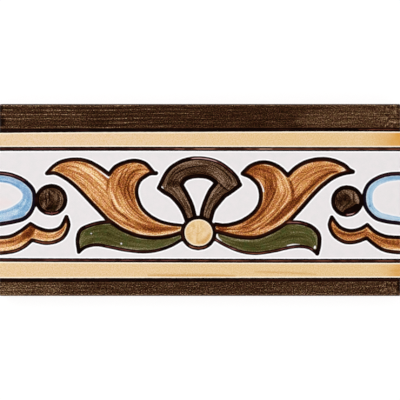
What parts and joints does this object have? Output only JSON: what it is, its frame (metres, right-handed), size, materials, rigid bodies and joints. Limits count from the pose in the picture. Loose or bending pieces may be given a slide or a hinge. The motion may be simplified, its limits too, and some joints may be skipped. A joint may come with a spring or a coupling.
{
  "type": "border tile",
  "caption": "Flat rectangular glazed earthenware border tile with painted bands and a scrolling leaf motif, eased edges and a grooved back for adhesive.",
  "frame": {"origin": "middle of the tile's back, on the plane of its back lands", "axes": "+X along the border, +Y across it towards the wider brown band, +Z out of the glazed face"},
  "size_m": [0.2, 0.0954, 0.009],
  "materials": {
    "glazed_earthenware": "glossy white glaze with brown, cream, ochre, green and blue brush painting over a fired clay body"
  },
  "bodies": {
    "root": {"border_tile": "glazed_earthenware"}
  },
  "joints": []
}
